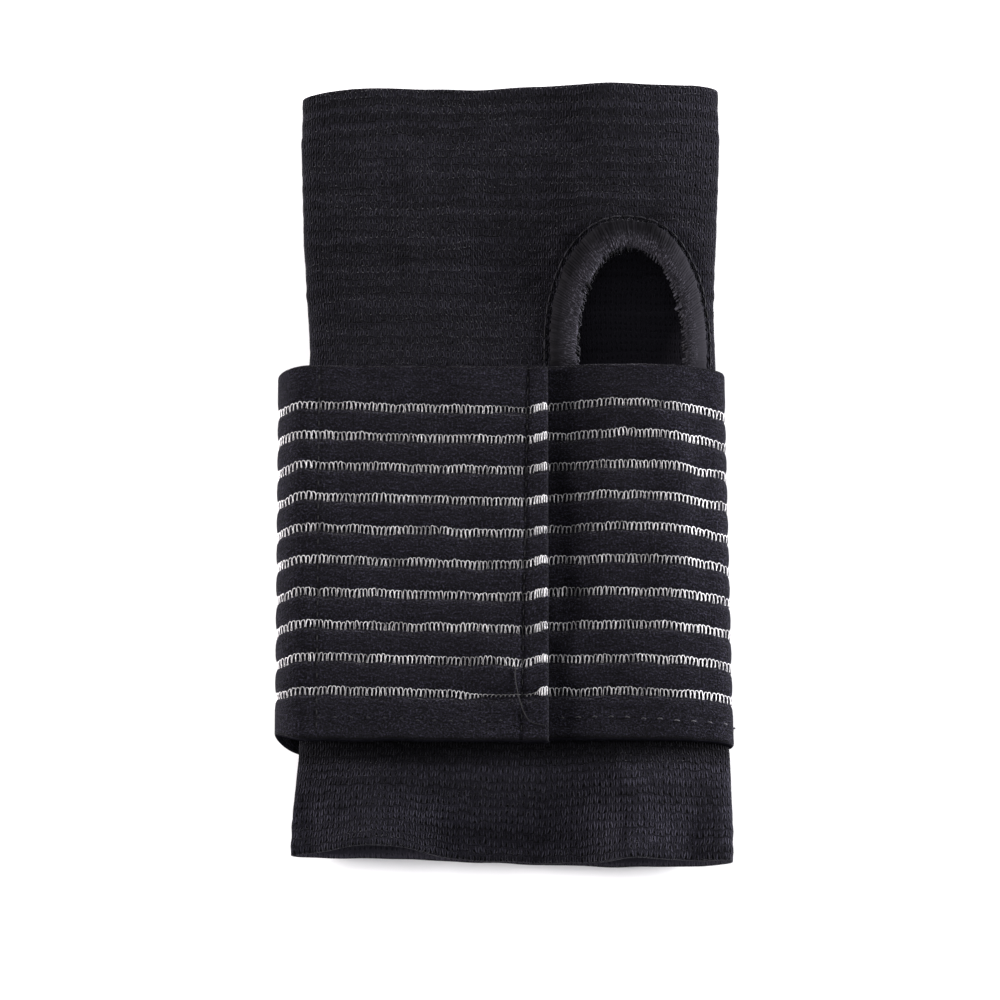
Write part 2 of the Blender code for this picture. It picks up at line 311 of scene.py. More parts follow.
def tube_caps(first, last, sides):
    """Triangles that close a tube whose first and last rings start at these points."""
    fan = np.arange(1, sides - 1)
    start = np.stack([np.full_like(fan, first), first + fan, first + fan + 1], -1)
    end = np.stack([np.full_like(fan, last), last + fan + 1, last + fan], -1)
    return np.concatenate([start, end])


def tube_rings(path, sides, squash):
    """The points of one thread, ring by ring."""
    line, up, radius, _ = path
    along = unit(np.gradient(line, axis=0))
    side = unit(np.cross(along, up))
    lift = np.cross(side, along)
    angle = np.arange(sides) * TAU / sides
    ring = side[:, None] * np.cos(angle)[None, :, None]
    ring = ring + lift[:, None] * np.sin(angle)[None, :, None] * squash
    radius = np.broadcast_to(radius, (len(line),))[:, None, None]
    return (line[:, None] + ring * radius).reshape(-1, 3)


def tubes(name, paths, material, sides=5, squash=1.0):
    """Threads. A path is (points, up, radius, tone), the last two one number or one a point."""
    points, quads, caps, tones, runs, first = [], [], [], [], [], 0
    for path in paths:
        line, _, _, tone = path
        count = len(line)
        points.append(tube_rings(path, sides, squash))
        quads.append(grid_faces(count, sides, first, wrap=True))
        caps.append(tube_caps(first, first + (count - 1) * sides, sides))
        tones.append(np.repeat(np.broadcast_to(tone, (count,)), sides))
        runs.append(np.repeat(lengths_along(*line.T) / MM, sides))
        first += count * sides
    faces = [np.concatenate(quads), np.concatenate(caps)]
    values = {"tone": np.concatenate(tones), "run": np.concatenate(runs)}
    return build_mesh(name, np.concatenate(points), faces, material, values)


# ---- materials


def add_node(tree, kind, inputs, **settings):
    """A node whose inputs, by name or number, are given numbers, Terms or other nodes' outputs."""
    node = tree.nodes.new(kind)
    for key, value in settings.items():
        setattr(node, key, value)
    feed(tree, node, inputs)
    return node


def feed(tree, node, inputs):
    """Links a node's inputs to what they are given, or sets their numbers."""
    for key, value in inputs.items():
        value = value.socket if isinstance(value, Term) else value
        if isinstance(value, bpy.types.NodeSocket):
            tree.links.new(value, node.inputs[key])
        else:
            node.inputs[key].default_value = value


def math_node(operation):
    """A method that makes this kind of Math node."""
    return lambda self, *others: self.maths(operation, *others)


class Term:
    """A node's output that takes plain arithmetic, each step becoming a Math node."""

    def __init__(self, tree, socket):
        self.tree, self.socket = tree, socket

    def maths(self, operation, *others):
        inputs = dict(enumerate((self, *others)))
        node = add_node(self.tree, "ShaderNodeMath", inputs, operation=operation)
        return Term(self.tree, node.outputs[0])

    __add__ = math_node("ADD")
    __sub__ = math_node("SUBTRACT")
    __mul__ = math_node("MULTIPLY")
    __pow__ = math_node("POWER")
    __abs__ = math_node("ABSOLUTE")
    at_least = math_node("MAXIMUM")
    sign = math_node("SIGN")
    sine = math_node("SINE")
    fract = math_node("FRACT")
    floor = math_node("FLOOR")

    def ramp(self, low, high):
        """0 at low, 1 at high, eased between them."""
        inputs = {"Value": self, "From Min": low, "From Max": high}
        node = add_node(self.tree, "ShaderNodeMapRange", inputs, interpolation_type="SMOOTHSTEP")
        return Term(self.tree, node.outputs["Result"])


class Look:
    """A Principled material under construction."""

    def __init__(self, name, colour, roughness, sheen=0.0, specular=0.3):
        self.material = bpy.data.materials.new(name)
        self.material.use_nodes = True
        self.tree = self.material.node_tree
        self.colour = colour
        self.shade("Base Color", (*colour, 1))
        self.shade("Roughness", roughness)
        self.shade("Specular IOR Level", specular)
        self.shade("Sheen Weight", sheen)
        self.shade("Sheen Roughness", 0.25)
        self.shade("Sheen Tint", (0.92, 0.9, 1.0, 1))

    def shade(self, name, value):
        """Gives the material's shader one of its inputs."""
        feed(self.tree, self.tree.nodes["Principled BSDF"], {name: value})

    def output(self, kind, output, inputs=None, **settings):
        """One output of a new node."""
        return add_node(self.tree, kind, inputs or {}, **settings).outputs[output]

    def term(self, *node, **settings):
        """One output of a new node, as a Term."""
        return Term(self.tree, self.output(*node, **settings))

    def cloth(self):
        """The cloth coordinates as two Terms."""
        pair = self.output("ShaderNodeUVMap", 0, uv_map="cloth")
        return [self.term("ShaderNodeSeparateXYZ", axis, {0: pair}) for axis in "XY"]

    def attribute(self, name):
        return self.term("ShaderNodeAttribute", "Fac", attribute_name=name)

    def joined(self, *parts):
        return self.output("ShaderNodeCombineXYZ", 0, dict(enumerate(parts)))

    def noise(self, vector, scale, detail=2.0, roughness=0.5):
        """Smooth noise, about 0.5, at a vector or at two Terms."""
        vector = self.joined(*vector) if isinstance(vector, tuple) else vector
        inputs = {"Vector": vector, "Scale": scale, "Detail": detail, "Roughness": roughness}
        return self.term("ShaderNodeTexNoise", "Fac", inputs)

    def random_cell(self, x, y):
        """A random number from 0 to 1 for each pair of whole numbers."""
        inputs = {"Vector": self.joined(x, y)}
        return self.term("ShaderNodeTexWhiteNoise", "Value", inputs, noise_dimensions="2D")

    def place(self):
        return self.output("ShaderNodeTexCoord", "Object")

    def coordinate(self, axis):
        """The X or the Y of the place on the brace."""
        return self.term("ShaderNodeSeparateXYZ", axis, {0: self.place()})

    def tint(self, factor):
        """Base colour = colour x factor."""
        inputs = {0: self.colour, "Scale": factor.at_least(0.1)}
        tinted = self.output("ShaderNodeVectorMath", 0, inputs, operation="SCALE")
        self.shade("Base Color", tinted)
        return tinted

    def mixed(self, base, other, share):
        """Base colour = base where share is 0, the other colour where it is 1."""
        inputs = {"Factor": share, "A": base, "B": (*other, 1)}
        self.shade("Base Color", self.output("ShaderNodeMix", "Result", inputs, data_type="RGBA"))

    def relief(self, height, distance, strength):
        inputs = {"Strength": strength, "Distance": distance, "Height": height}
        self.shade("Normal", self.output("ShaderNodeBump", 0, inputs))


def knit_material(name, colour, depth):
    """Stockinette: columns of V stitches, their legs painted light where they catch it, beside
    pinholes painted dark with shade.

    depth is 1 outside, where the stitches stand out and the knit has painted shade at the strap's
    lower edge, and less inside.
    """
    look = Look(name, colour, 0.9, sheen=0.11, specular=0.03)
    u, v = look.cloth()
    place = look.place()
    u = u + (look.noise(place, 90, 2.0) - 0.5) * 0.9
    v = v + (look.noise(place, 55, 2.0) - 0.5) * 1.3
    u = u + (look.noise(place, 480, 1.0) - 0.5) * 0.55
    v = v + (look.noise(place, 430, 1.0) - 0.5) * 0.55
    wale = u.floor()
    v = v + look.random_cell(wale, 0.0) * 0.3
    course = v.floor()
    half = (u.fract() - 0.5).sign() * 0.25
    across = abs(u.fract() - 0.5)
    along = v.fract()
    leg = abs(across - along * 0.2 - 0.13).ramp(0.15, 0.02)
    jitter = look.random_cell(wale + half, course + 0.25) * 0.36 - 0.18
    leg = leg * abs(along - 0.5 - jitter).ramp(0.52, 0.20)
    wander = look.random_cell(wale, course + 0.5) * 0.4
    hole = across.ramp(0.26, 0.42) * abs(along - 0.15 - wander).ramp(0.27, 0.07)
    stitch = look.random_cell(wale + half, course)
    row = look.random_cell(course, 3.0)
    patch = look.noise(place, 42, 3.0)
    streak = look.noise((u * 0.03, v * 1.0), 0.9, 2.0)
    fibre = look.noise((u * 4.0, v * 1.9), 3.0, 3.0, 0.7)
    loose = look.noise((u * 0.12, course * 1.7), 1.0, 1.0)
    seam = along.ramp(0.16, 0.0) * loose.ramp(0.42, 0.62)
    # Painted light: the stitch legs are lighter towards the lower right, where the light from the
    # right falls.
    forearm = look.coordinate("Y").ramp(-56 * MM, -62 * MM)
    bright = forearm * look.coordinate("X").ramp(12 * MM, 24 * MM) * 0.25 + 0.75
    tone = leg * stitch * bright * (2.5 * depth) + (1.0 - 0.36 * depth)
    tone = tone - hole * (1.4 * depth) - seam * (0.45 * depth)
    stripy = min(1.0, depth * 1.2)
    tone = tone.at_least(0.05) * (row * 0.44 * stripy + 1.0 - 0.22 * stripy)
    tone = tone * (patch * 0.6 + 0.7) * (streak * 1.5 * stripy + 1.0 - 0.75 * stripy)
    tone = tone * ((fibre - 0.5) * (3.6 * stripy) + 1.0).at_least(0.10)
    if depth > 0.5:
        # Painted shade: the knit is darkened at the strap's lower edge and under it (shaded), and
        # 1.8 times lighter from 6 mm below it (worn).
        y = look.coordinate("Y")
        shaded = y.ramp(STRAP_Y - 3.5 * MM, STRAP_Y - 0.5 * MM) * y.ramp(0, STRAP_Y) * -0.35
        worn = y.ramp(STRAP_Y - 2 * MM, STRAP_Y - 6 * MM) * 0.8
        tone = tone * (shaded + worn + 1.0)
    else:
        tone = tone * (look.coordinate("Y").ramp(-68 * MM, -74 * MM) * 1.6 + 1.0)
    look.tint(tone)
    height = leg * (stitch * 0.5 + 0.5) - hole * 1.1 - seam * 0.5 + fibre * 0.5 + row * 0.12
    look.relief(height, 0.00045 * depth, 1.0)
    return look.material


def elastic_material():
    """Black woven elastic: crinkled bands, with the light thread showing on the inner side."""
    look = Look("strap_cloth", (0.0044, 0.0041, 0.0064), 0.9, sheen=0.10, specular=0.04)
    u, v = look.cloth()
    place = look.place()
    crepe = look.noise((u, v * 1.5), 3.0, 3.0, 0.8)
    coarse = look.noise((u * 0.55, v * 1.5), 1.0, 2.0)
    cell_u = (u * 1.5 + (crepe - 0.5) * 2.2).floor()
    cell_v = (v * 2.6 + (coarse - 0.5) * 3.0).floor()
    pick = look.random_cell(cell_u, cell_v)
    patch = look.noise(place, 55, 3.0)
    pitch, closer = STRIPE_PITCH / MM, STRIPE_CLOSER / MM
    under_root = (v - FIRST_STRIPE / MM) * (-4 * closer) + pitch**2
    band = (under_root**0.5) * (-0.5 / closer) + pitch / (2 * closer)
    woven = band.ramp(-0.45, -0.35) * band.ramp(STRIPES - 0.55, STRIPES - 0.65)
    from_stripe = abs((band + 0.5).fract() - 0.5)
    groove = from_stripe.ramp(0.16, 0.08) * woven
    # Painted shade: the cloth is darker along the tape's and the hem's stitch lines, in the creases
    # there.
    tape_seam = abs(u - v * 0.009 - (S_TAPE_ROW / MM - 0.2)).ramp(0.6, 0.1) * 0.35
    hem_seam = abs(u - v * (1.4 * MM / STRAP_WIDTH) - (S_LIP / MM - 0.7)).ramp(0.8, 0.1) * 0.3
    seam = tape_seam + hem_seam
    # edge is painted shade: the cloth darkens towards its long edges and at its folded end.
    edge = v.ramp(0.1, 0.95) * v.ramp(STRAP_WIDTH / MM - 0.1, STRAP_WIDTH / MM - 0.8)
    edge = edge * (u.ramp(TOTAL / MM - 0.1, TOTAL / MM - 0.8) * 0.5 + 0.5)
    crinkle = look.noise((u * 0.30, v * 0.95), 1.0, 2.0)
    fleck = look.noise((u * 2.6, v * 2.8), 1.0, 1.0, 0.6)
    # The front length is a little darker: partly its weave's direction, partly painted shade from
    # the flap's edge.
    front = u.ramp(S_TURN / MM, S_TURN / MM - 8) * -0.07
    tone = crepe.ramp(0.34, 0.68) * 0.9 + (pick**3.0) * 0.5 + 0.25
    tone = tone + fleck.ramp(0.54, 0.66) * 2.6 - fleck.ramp(0.47, 0.36) * 0.6
    # groove darkens the cloth where the stripes lie in their grooves: painted shade.
    tone = tone.at_least(0.08) * (groove * -0.2 + 1.0)
    tone = tone * (patch * 0.6 + 0.7) * (seam * -1.0 + 1.0)
    tone = tone * (crinkle.ramp(0.3, 0.7) * 0.5 + 0.75) * (front + 1.0)
    inner = look.attribute("inside").ramp(0.6, 0.9)
    # The inner face is 2.5 times lighter: partly its own lighter look, partly painted light that
    # lifts the shade in the turns.
    tone = tone * (edge * 0.93 + 0.07 + inner * 1.5)
    base = look.tint(tone)
    height = crepe * 0.8 + coarse * 0.3 + crinkle * 1.6 + pick * 0.2 + fleck * 0.7 - seam * 1.2
    look.relief(height, 0.00045, 0.9)
    bars = (u * (TAU * MM / LOOP_PITCH)).sine().ramp(-0.2, 0.5)
    light = from_stripe.ramp(0.13, 0.09) * bars * inner * woven
    look.mixed(base, (0.20, 0.195, 0.20), light)
    return look.material


def thread_material(name, colour, contrast=1.0, twist=1.5, sheen=0.1, specular=0.1):
    """A plied thread: its tone attribute is how light it is, and its run turns the ply."""
    look = Look(name, colour, 0.65, sheen=sheen, specular=specular)
    fibre = look.noise(look.place(), 3200, 2.0)
    ply = (look.attribute("run") * (TAU * twist)).sine()
    tone = look.attribute("tone") * contrast + (1 - contrast * 0.5)
    look.tint(tone * (fibre * 0.8 + 0.6) * (ply * 0.12 + 0.95))
    look.relief(ply * 0.4 + fibre, 0.00006, 0.6)
    return look.material


def binding_material():
    """Satin stitch: fine radial threads, dense and bright on the inner half, smoother outside."""
    look = Look("binding_cloth", (0.0100, 0.0095, 0.0119), 0.8, sheen=0.03, specular=0.03)
    turn, across = look.attribute("round"), look.attribute("run")
    fine = look.noise((turn * 1.0, across * 0.6), 1.35, 3.0, 0.75)
    dash = look.noise((turn * 1.5, across * 1.1), 1.2, 2.0, 0.8)
    inner = look.attribute("inner")
    needle = dash.ramp(0.50, 0.63)
    # The tone attribute holds a painted highlight on the outer half of the side facing the right
    # softbox.
    tone = look.attribute("tone") * 0.25 + (fine - 0.5) * 0.8 + 0.25
    tone = tone + inner * (needle * 3.6 - dash.ramp(0.48, 0.34) * 0.5 + 0.7)
    patch = look.noise(look.place(), 130, 3.0)
    look.tint(tone.at_least(0.08) * (patch * 0.9 + 0.55))
    look.relief(fine * 0.3 + inner * needle * 0.8, 0.00018, 0.9)
    return look.material


def selvage_material():
    """The elastic's long edges, where the cut ends of the weave lie in shadow: without sheen or
    gloss, a painted shade.
    """
    look = Look("strap_selvage", (0.0052, 0.0050, 0.0068), 1.0, sheen=0.0, specular=0.0)
    look.tint(look.noise(look.place(), 1600, 2.0) * 1.6 + 0.2)
    look.relief(look.noise(look.place(), 2200, 2.0), 0.0001, 0.6)
    return look.material


def plastic_material():
    """The hook tape: a matte moulded strip."""
    look = Look("hook_tape_plastic", (0.010, 0.010, 0.012), 0.5, specular=0.4)
    grain = look.noise(look.place(), 900, 3.0)
    look.tint(grain * 0.8 + 0.6)
    look.relief(grain, 0.0001, 0.5)
    return look.material


# ---- camera and light

TILT = math.radians(16.5)  # the camera leans towards the forearm end
VIEW_DISTANCE = 1.3
VIEW_WIDTH = 191.7 * MM
SENSOR = 36  # the width of the camera's sensor, in the camera's own millimetres
FLOOR_HALF = 2.0
AIM = Vector((-0.6 * MM, -3.9 * MM, 0))


def aim(thing, place, direction):
    """Puts a camera or a light in its place and turns it this way."""
    thing.location = place
    thing.rotation_mode = "QUATERNION"
    thing.rotation_quaternion = direction.to_track_quat("-Z", "Y")


def set_camera():
    camera = add_object("camera", bpy.data.cameras.new("camera"))
    away = Vector((0, -math.sin(TILT), math.cos(TILT)))
    aim(camera, AIM + away * VIEW_DISTANCE, -away)
    camera.data.sensor_width = SENSOR
    camera.data.lens = SENSOR * VIEW_DISTANCE / VIEW_WIDTH
    camera.data.clip_start = 0.05
    camera.data.clip_end = 20
    bpy.context.scene.camera = camera


def area_light(name, place, size, power, colour):
    """A softbox of this size in metres and power in watts, turned to the origin."""
    data = bpy.data.lights.new(name, "AREA")
    data.shape = "RECTANGLE"
    data.size, data.size_y = size
    data.energy = power
    data.color = colour
    aim(add_object(name, data), place, -Vector(place))


def set_lights():
    world = bpy.data.worlds.new("studio")
    world.use_nodes = True
    background = world.node_tree.nodes["Background"]
    background.inputs["Color"].default_value = (0.95, 0.96, 1.0, 1)
    background.inputs["Strength"].default_value = 0.45
    bpy.context.scene.world = world
    area_light("right_softbox", (1.25, 0.22, 0.21), (0.6, 0.34), 88, (1.0, 0.985, 1.0))
    area_light("left_softbox", (-1.2, 0.1, 0.30), (0.6, 0.46), 54, (1.0, 0.96, 0.955))
    area_light("front_fill", (0.1, -0.9, 0.9), (0.9, 0.6), 1.5, (0.96, 0.98, 1.0))
    bpy.context.scene.view_settings.view_transform = "Standard"


def make_floor():
    look = Look("table_white", (0.93, 0.93, 0.94), 0.9, specular=0.2)
    look.relief(look.noise(look.place(), 400, 2.0), 0.00003, 0.3)
    corners = [(x * FLOOR_HALF, y * FLOOR_HALF, 0) for x, y in ((-1, -1), (1, -1), (1, 1), (-1, 1))]
    floor = build_mesh("table", corners, [np.array([(0, 1, 2, 3)])], look.material, {})
    floor.location.z = -0.05 * MM


# ---- the knitted sleeve's surface

side_ripple = Ripple(3, (9 * MM,))
skin_ripple = Ripple(4, (16 * MM, 11 * MM), 12)
rib_ripple = Ripple(5, (60 * MM, 5 * MM), 10)
rim_ripple = Ripple(6, (22 * MM,))


def outside_strap(y):
    """0 under the strap, easing to 1 beyond its edges."""
    beyond = np.maximum(y - STRAP_END_Y, STRAP_Y - y) - 1.5 * MM
    return smooth(beyond / (14 * MM))


def ring_shape(size):
    """Centre and squareness of the thumb hole's outline of this half size: egg-like further in."""
    share = (THUMB_OUT[0] - size[0]) / BAND
    return THUMB_X + 0.6 * MM * share, THUMB_Y - 1.0 * MM * share, THUMB_POWER - 0.12 * share


def thumb_outline(x, y, size=THUMB_OUT):
    """1 on the outline of this half size, less inside it."""
    middle_x, middle_y, power = ring_shape(size)
    across = np.abs((x - middle_x) / size[0]) ** power
    along = np.abs((y - middle_y) / size[1]) ** power
    return (across + along) ** (1 / power)


def thumb_ridge(x, y):
    """How far the front rises round the thumb hole and in a soft ridge beyond it."""
    across = rise(x, 7 * MM, 14 * MM) * fall(x, 44 * MM, 14 * MM)
    along = 0.4 + 0.6 * rise(y, -50 * MM, 50 * MM)
    return 1.7 * MM * across * along


def settled(x, y):
    """Change of height of the front layer from the plain tube."""
    change = thumb_ridge(x, y)
    palm = rise(y, 22 * MM, 16 * MM)
    change = change - 1.2 * MM * palm * bump(x, 2 * MM, 17 * MM) * bump(y, 36 * MM, 26 * MM)
    around = (thumb_outline(x, y) - 1.03) * THUMB_OUT[0]
    change = change - 0.45 * MM * palm * bump(around, 0, 1.8 * MM)
    share = fall(y, -55.5 * MM, 17 * MM)
    target = soft_table(x, FOREARM_EDGE, 3)
    sink = np.minimum(target - SLEEVE_TOP - change, 0)
    change = change - 0.7 * MM * bump(y, STRAP_Y - 1.5 * MM, 6 * MM)
    step = 0.5 * MM * fall(y, -54 * MM, 5 * MM) * (rise(x, 19.5 * MM, 3 * MM) - 0.5)
    return change + share * sink * fall(np.abs(x), 44 * MM, 9 * MM) + step


def tube_section(y):
    """A closed line round the plain tube at y, evenly spaced, from the middle of its underside."""
    turns = np.linspace(0, TAU, 721) - TAU / 4
    across = signed_power(np.cos(turns), 2 / SECTION_POWER)
    upward = signed_power(np.sin(turns), 2 / SECTION_POWER)
    low = (1 - outside_strap(y)) * (STRAP + SLEEVE_UNDER)
    centre = np.interp(y, SLEEVE_WIDTHS[:, 0], SLEEVE_WIDTHS[:, 1])
    half = np.interp(y, SLEEVE_WIDTHS[:, 0], SLEEVE_WIDTHS[:, 2])
    x = centre + half * across
    z = (low + SLEEVE_TOP) / 2 + (SLEEVE_TOP - low) / 2 * upward
    length = lengths_along(x, z)
    want = np.linspace(0, length[-1], AROUND + 1)[:-1]
    return np.interp(want, length, x), np.interp(want, length, z)


def sleeve_grid():
    """The outer surface's points (along, around, 3)."""
    rows = []
    for y in np.linspace(FOREARM_END, PALM_END, ALONG):
        x, z = tube_section(y)
        rows.append(np.stack([x, np.full(AROUND, y), z], -1))
    return shape_sleeve(np.array(rows))


def shape_sleeve(grid):
    """The plain tube with its ridge, dips, uneven ends and small ripples."""
    x, y, z = grid[..., 0].copy(), grid[..., 1].copy(), grid[..., 2].copy()
    front = rise(z, SLEEVE_TOP / 2 - 1.0 * MM, 4.2 * MM)
    free = outside_strap(y)
    z += front * settled(x, y)
    ripple = 0.12 * MM * skin_ripple(x, y) + 0.05 * MM * rib_ripple(x, y)
    z += free * ripple * np.where(front > 0.5, 1.0, 0.3)
    x += np.sign(x) * free * (1 - np.abs(front - 0.5) * 2) * 0.16 * MM * side_ripple(y)
    palm = rise(y, 58 * MM, 18 * MM)
    y += palm * (soft_table(x, PALM_EDGE) + 0.06 * MM * rim_ripple(x))
    forearm = fall(y, -56 * MM, 18 * MM)
    y += forearm * (soft_table(x, FOREARM_EDGE) + 0.07 * MM * rim_ripple(x + 300 * MM))
    y += fall(y, -66 * MM, 9 * MM) * front * soft_table(x, FOREARM_EDGE, 2)
    return np.stack([x, y, np.maximum(z, 0.03 * MM)], -1)


def sleeve_place(grid, x, y):
    """Points of the front surface, x measured along the cloth and y along the sleeve."""
    row = (y - FOREARM_END) / (PALM_END - FOREARM_END) * (ALONG - 1)
    low = np.clip(np.floor(row).astype(int), 0, ALONG - 2)
    spacing = np.linalg.norm(grid[low, AROUND // 2] - grid[low, AROUND // 2 + 1], axis=-1)
    middle = grid[low, AROUND // 2, 0]
    column = AROUND / 2 - (x - middle) / spacing
    left = np.floor(column).astype(int)
    along, across = (row - low)[..., None], (column - left)[..., None]
    near = grid[low, left] * (1 - across) + grid[low, left + 1] * across
    far = grid[low + 1, left] * (1 - across) + grid[low + 1, left + 1] * across
    return near * (1 - along) + far * along


def on_sleeve(grid, x, y):
    """Points of the front surface and its normals."""
    step = 0.6 * MM
    across = sleeve_place(grid, x + step, y) - sleeve_place(grid, x - step, y)
    along = sleeve_place(grid, x, y + step) - sleeve_place(grid, x, y - step)
    return sleeve_place(grid, x, y), unit(np.cross(across, along))


# ---- the sleeve's cloth


def make_sleeve(grid):
    """The tube's outer surface without the thumb hole, given its thickness inwards."""
    points = grid.reshape(-1, 3)
    faces = grid_faces(ALONG, AROUND, wrap=True)
    column = np.tile(np.arange(AROUND), ALONG - 1) * WALES / AROUND
    row = np.repeat(np.arange(ALONG - 1), AROUND)
    next_column = column + WALES / AROUND
    courses = (PALM_END - FOREARM_END) / COURSE / (ALONG - 1)
    u = np.stack([column, column, next_column, next_column], -1)
    v = np.stack([row, row + 1, row + 1, row], -1) * courses
    spacing = np.linalg.norm(grid[:, AROUND // 2] - grid[:, AROUND // 2 + 1], axis=-1)
    flat_x = grid[:, AROUND // 2, :1] - (np.arange(AROUND) - AROUND / 2) * spacing[:, None]
    flat_x = flat_x.ravel()[faces].mean(1)
    keep = thumb_outline(flat_x, points[faces].mean(1)[:, 1], THUMB_MID) >= 1
    used, faces = np.unique(faces[keep], return_inverse=True)
    faces = faces.reshape(-1, 4)
    sleeve = build_mesh("sleeve_knit", points[used], [faces], KNIT_CLOTH, {})
    set_uv(sleeve, np.stack([u, v], -1)[keep])
    wall = sleeve.modifiers.new("wall", "SOLIDIFY")
    wall.thickness = KNIT
    wall.offset = -1
    sleeve.data.materials.append(KNIT_INSIDE)
    wall.material_offset = 1
    fit(sleeve, "brace", "knit", "knit_sleeve")
    return sleeve


# ---- the binding round the thumb hole


def ring_point(size, turn):
    """The point of the thumb hole's outline of this half size, at this angle."""
    middle_x, middle_y, power = ring_shape(size)
    across = size[0] * signed_power(np.cos(turn), 2 / power)
    along = size[1] * signed_power(np.sin(turn), 2 / power)
    return middle_x + across, middle_y + along


def even_turns(size, count):
    """Angles that space points evenly round the outline."""
    turn = np.linspace(0, TAU, 1441)
    length = lengths_along(*ring_point(size, turn))
    return np.interp(np.linspace(0, length[-1], count + 1)[:-1], length, turn)


def pressed(y):
    """0 beside the strap, 1 under it, where it presses the binding flat."""
    return fall(y, STRAP_END_Y + 2.4 * MM, 2.2 * MM)


def ring_frame(grid, size, turns):
    """Points on the sleeve along the outline, the directions away from the hole and up, and how
    much the strap presses there."""
    x, y = ring_point(size, turns)
    base, normal = on_sleeve(grid, x, y)
    further, _ = on_sleeve(grid, *ring_point(size + 0.5 * MM, turns))
    out = further - base
    out -= normal * (out * normal).sum(-1, keepdims=True)
    return base, unit(out), normal, pressed(y)


def make_binding(grid):
    """A puffy band of close radial stitches that wraps the hole's edge."""
    ridges, samples, around = 236, 5, 20
    turns = even_turns(THUMB_MID, ridges * samples)
    ridge = np.repeat(np.arange(ridges), samples)
    phase = np.tile(np.arange(samples) / samples, ridges)
    shade = random.normal(0.5, 0.2, ridges)[ridge][:, None]
    swell = (random.normal(1, 0.35, ridges)[ridge] * (0.5 - 0.5 * np.cos(TAU * phase)))[:, None]
    reach = random.normal(0, 0.09 * MM, ridges)[ridge][:, None]
    angle = np.arange(around) * TAU / around
    wide = signed_power(np.cos(angle)[None], 0.8)
    tall = signed_power(np.sin(angle)[None], 0.75)
    base, out, normal, flat = ring_frame(grid, THUMB_MID, turns)
    rings = [np.stack(ring_point(size, turns), -1) for size in (THUMB_IN, THUMB_MID, THUMB_OUT)]
    inward, outward = np.linalg.norm(np.diff(rings, axis=0), axis=-1)[..., None]
    flat = flat[:, None]
    top = (0.95 - 0.70 * flat + swell * 0.07 * (1 - flat)) * MM
    half = np.where(wide > 0, outward + reach, inward - 0.15 * MM)
    radial = (half + swell * 0.05 * MM) * wide
    height = np.where(tall > 0, top, 1.3 * MM) * tall - (0.12 + 0.12 * (1 - flat) * wide) * MM
    points = base[:, None] + radial[..., None] * out[:, None] + height[..., None] * normal[:, None]
    inner = smooth((0.35 - wide - 0.1 * shade) / 0.7) * np.ones_like(shade)
    # Painted highlight: on the side facing the right softbox the outer half is lighter and the
    # inner half's needles dimmer.
    lit_side = smooth(np.cos(turns) * 2.2 - 0.7)[:, None]  # the side nearest the sleeve's edge
    turn = np.arange(len(turns))[:, None] / samples * np.ones(around)
    values = {
        "tone": np.clip(shade + 0.35 * inner + 2.4 * lit_side * (1 - inner), 0.05, 3.2).ravel(),
        "run": (wide * 2.6 * np.ones_like(shade)).ravel(),
        "round": np.minimum(turn, ridges - turn).ravel(),
        "inner": (inner * (1 - 0.45 * lit_side)).ravel(),
    }
    faces = grid_faces(len(turns) + 1, around, wrap=True) % (len(turns) * around)
    band = build_mesh("thumb_hole_band", points.reshape(-1, 3), [faces], BIND_CLOTH, values)
    fit(band, "brace", "binding", "thumb_hole_binding")


def make_edge_loops(grid):
    """The row of small thread loops along the opening's inner edge."""
    coils, samples = 150, 9
    turns = even_turns(THUMB_IN, coils * samples)
    phase = np.arange(coils * samples) * TAU / samples
    phase = phase + np.repeat(random.normal(0, 0.5, coils), samples)
    size = random.normal(1, 0.28, coils).repeat(samples) * MM
    base, out, normal, flat = ring_frame(grid, THUMB_IN + 0.3 * MM, turns)
    swing = 0.5 * size * np.cos(phase)
    height = (0.55 - 0.15 * flat) * size * np.sin(phase) - (0.35 + 0.25 * flat) * MM
    points = base + out * swing[:, None] + normal * height[:, None]
    radius = np.clip(random.normal(0.17, 0.05, coils), 0.08, 0.3).repeat(samples) * MM
    tone = np.clip(random.normal(0.45, 0.4, coils), 0.0, 1.6).repeat(samples)
    path = (points, normal, radius, tone)
    fit(tubes("thumb_hole_edge_loops", [path], BIND_THREAD, sides=5), "brace", "binding")


def make_outline_stitches(grid):
    """The chain of stitches in the groove that rings the binding."""
    count, samples = 58, 12
    groove = THUMB_OUT + 0.75 * MM
    turns = even_turns(groove, count * samples)
    base, _, normal, flat = ring_frame(grid, groove, turns)
    share = np.linspace(0, 1, samples - 1)
    paths = []
    for i in range(count):
        span = slice(i * samples, i * samples + samples - 1)
        arch = (0.05 + 0.20 * np.sin(math.pi * share) - 0.12 * flat[span]) * MM
        points = base[span] + normal[span] * arch[:, None]
        radius = 0.17 * MM * (0.6 + 0.4 * np.sin(math.pi * share))
        tone = np.clip(random.normal(0.5, 0.25), 0.05, 1.2)
        paths.append((points, normal[span], radius, tone))
    chain = tubes("thumb_hole_outline_stitches", paths, DARK_THREAD, sides=6, squash=0.8)
    fit(chain, "brace", "thread", "thumb_hole_seam")


# ---- the strap's surface

PART_POINTS = 240  # in each straight or turn of the path
PATH_POINTS = 3000


def arc(centre, size, first, last):
    angle = np.linspace(first, last, PART_POINTS)
    return np.stack([centre[0] + size[0] * np.cos(angle), centre[1] + size[1] * np.sin(angle)], -1)


def straight(first, last, z):
    return np.stack([np.linspace(first, last, PART_POINTS), np.full(PART_POINTS, z)], -1)


